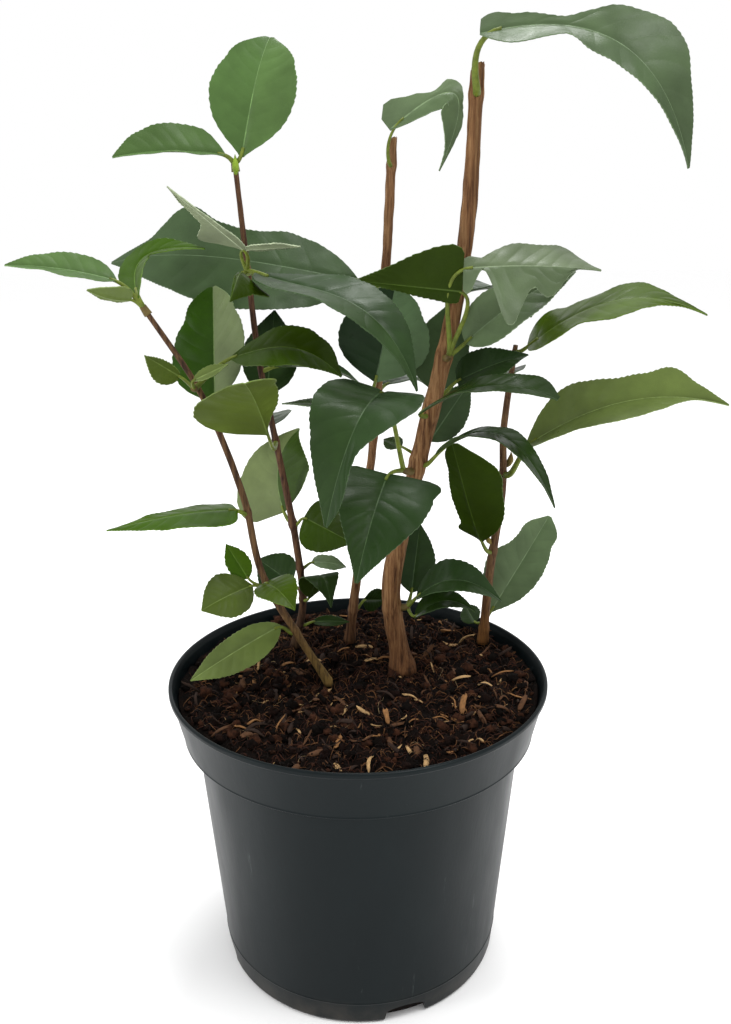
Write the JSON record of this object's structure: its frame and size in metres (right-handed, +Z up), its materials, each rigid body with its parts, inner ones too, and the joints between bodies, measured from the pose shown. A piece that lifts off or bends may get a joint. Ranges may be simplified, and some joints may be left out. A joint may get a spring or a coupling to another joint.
{
  "type": "potted camellia shrub",
  "caption": "Young camellia shrub with upright canes and glossy oval leaves, standing in a round plastic nursery pot filled with soil.",
  "frame": {"origin": "centre of the flat underside of the pot, on the ground", "axes": "+Z up through the pot, +X to the right of the front view, +Y towards the back"},
  "size_m": [0.3157, 0.2113, 0.4546],
  "materials": {
    "pot_plastic": "satin moulded plastic, dark slate grey-green",
    "soil": "rough dark peat with husk and bark chips",
    "cane_bark": "fibrous tan to reddish-brown bark",
    "young_stem": "smooth purple-brown bark, orange-brown near the ground",
    "leaf": "glossy green upper side, dull olive to pale green underside"
  },
  "bodies": {
    "root": {"pot": "pot_plastic", "soil": "soil", "left_stem": "young_stem", "tall_stem": "young_stem", "back_cane": "cane_bark", "main_cane": "cane_bark", "right_stem": "young_stem", "leaves_left_top": "leaf", "leaves_left_knot": "leaf", "leaves_left_upright": "leaf", "leaves_left_long": "leaf", "leaves_left_low": "leaf", "leaves_left_foot": "leaf", "leaves_tall_top": "leaf", "leaves_tall_knot": "leaf", "leaves_tall_upright": "leaf", "leaves_tall_cupped": "leaf", "leaves_tall_round": "leaf", "leaves_tall_inner": "leaf", "leaves_tall_low_left": "leaf", "leaves_tall_low_right": "leaf", "leaves_tall_low_front": "leaf", "leaves_tall_foot": "leaf", "leaves_back_top": "leaf", "leaves_back_broad": "leaf", "leaves_back_middle": "leaf", "leaves_back_foot": "leaf", "leaves_main_top": "leaf", "leaves_main_crown": "leaf", "leaves_main_shade": "leaf", "leaves_main_behind": "leaf", "leaves_main_arch": "leaf", "leaves_main_hidden": "leaf", "leaves_main_front": "leaf", "leaves_main_low": "leaf", "leaves_right_top": "leaf", "leaves_right_long": "leaf", "leaves_right_inner": "leaf", "leaves_right_foot": "leaf", "leaves_behind_tall_high": "leaf", "leaves_behind_tall_middle": "leaf", "leaves_behind_back_high": "leaf", "leaves_behind_back_middle": "leaf", "leaves_behind_back_low": "leaf", "leaves_behind_main_high": "leaf", "leaves_behind_main_low": "leaf", "leaves_behind_right_high": "leaf"}
  },
  "joints": []
}
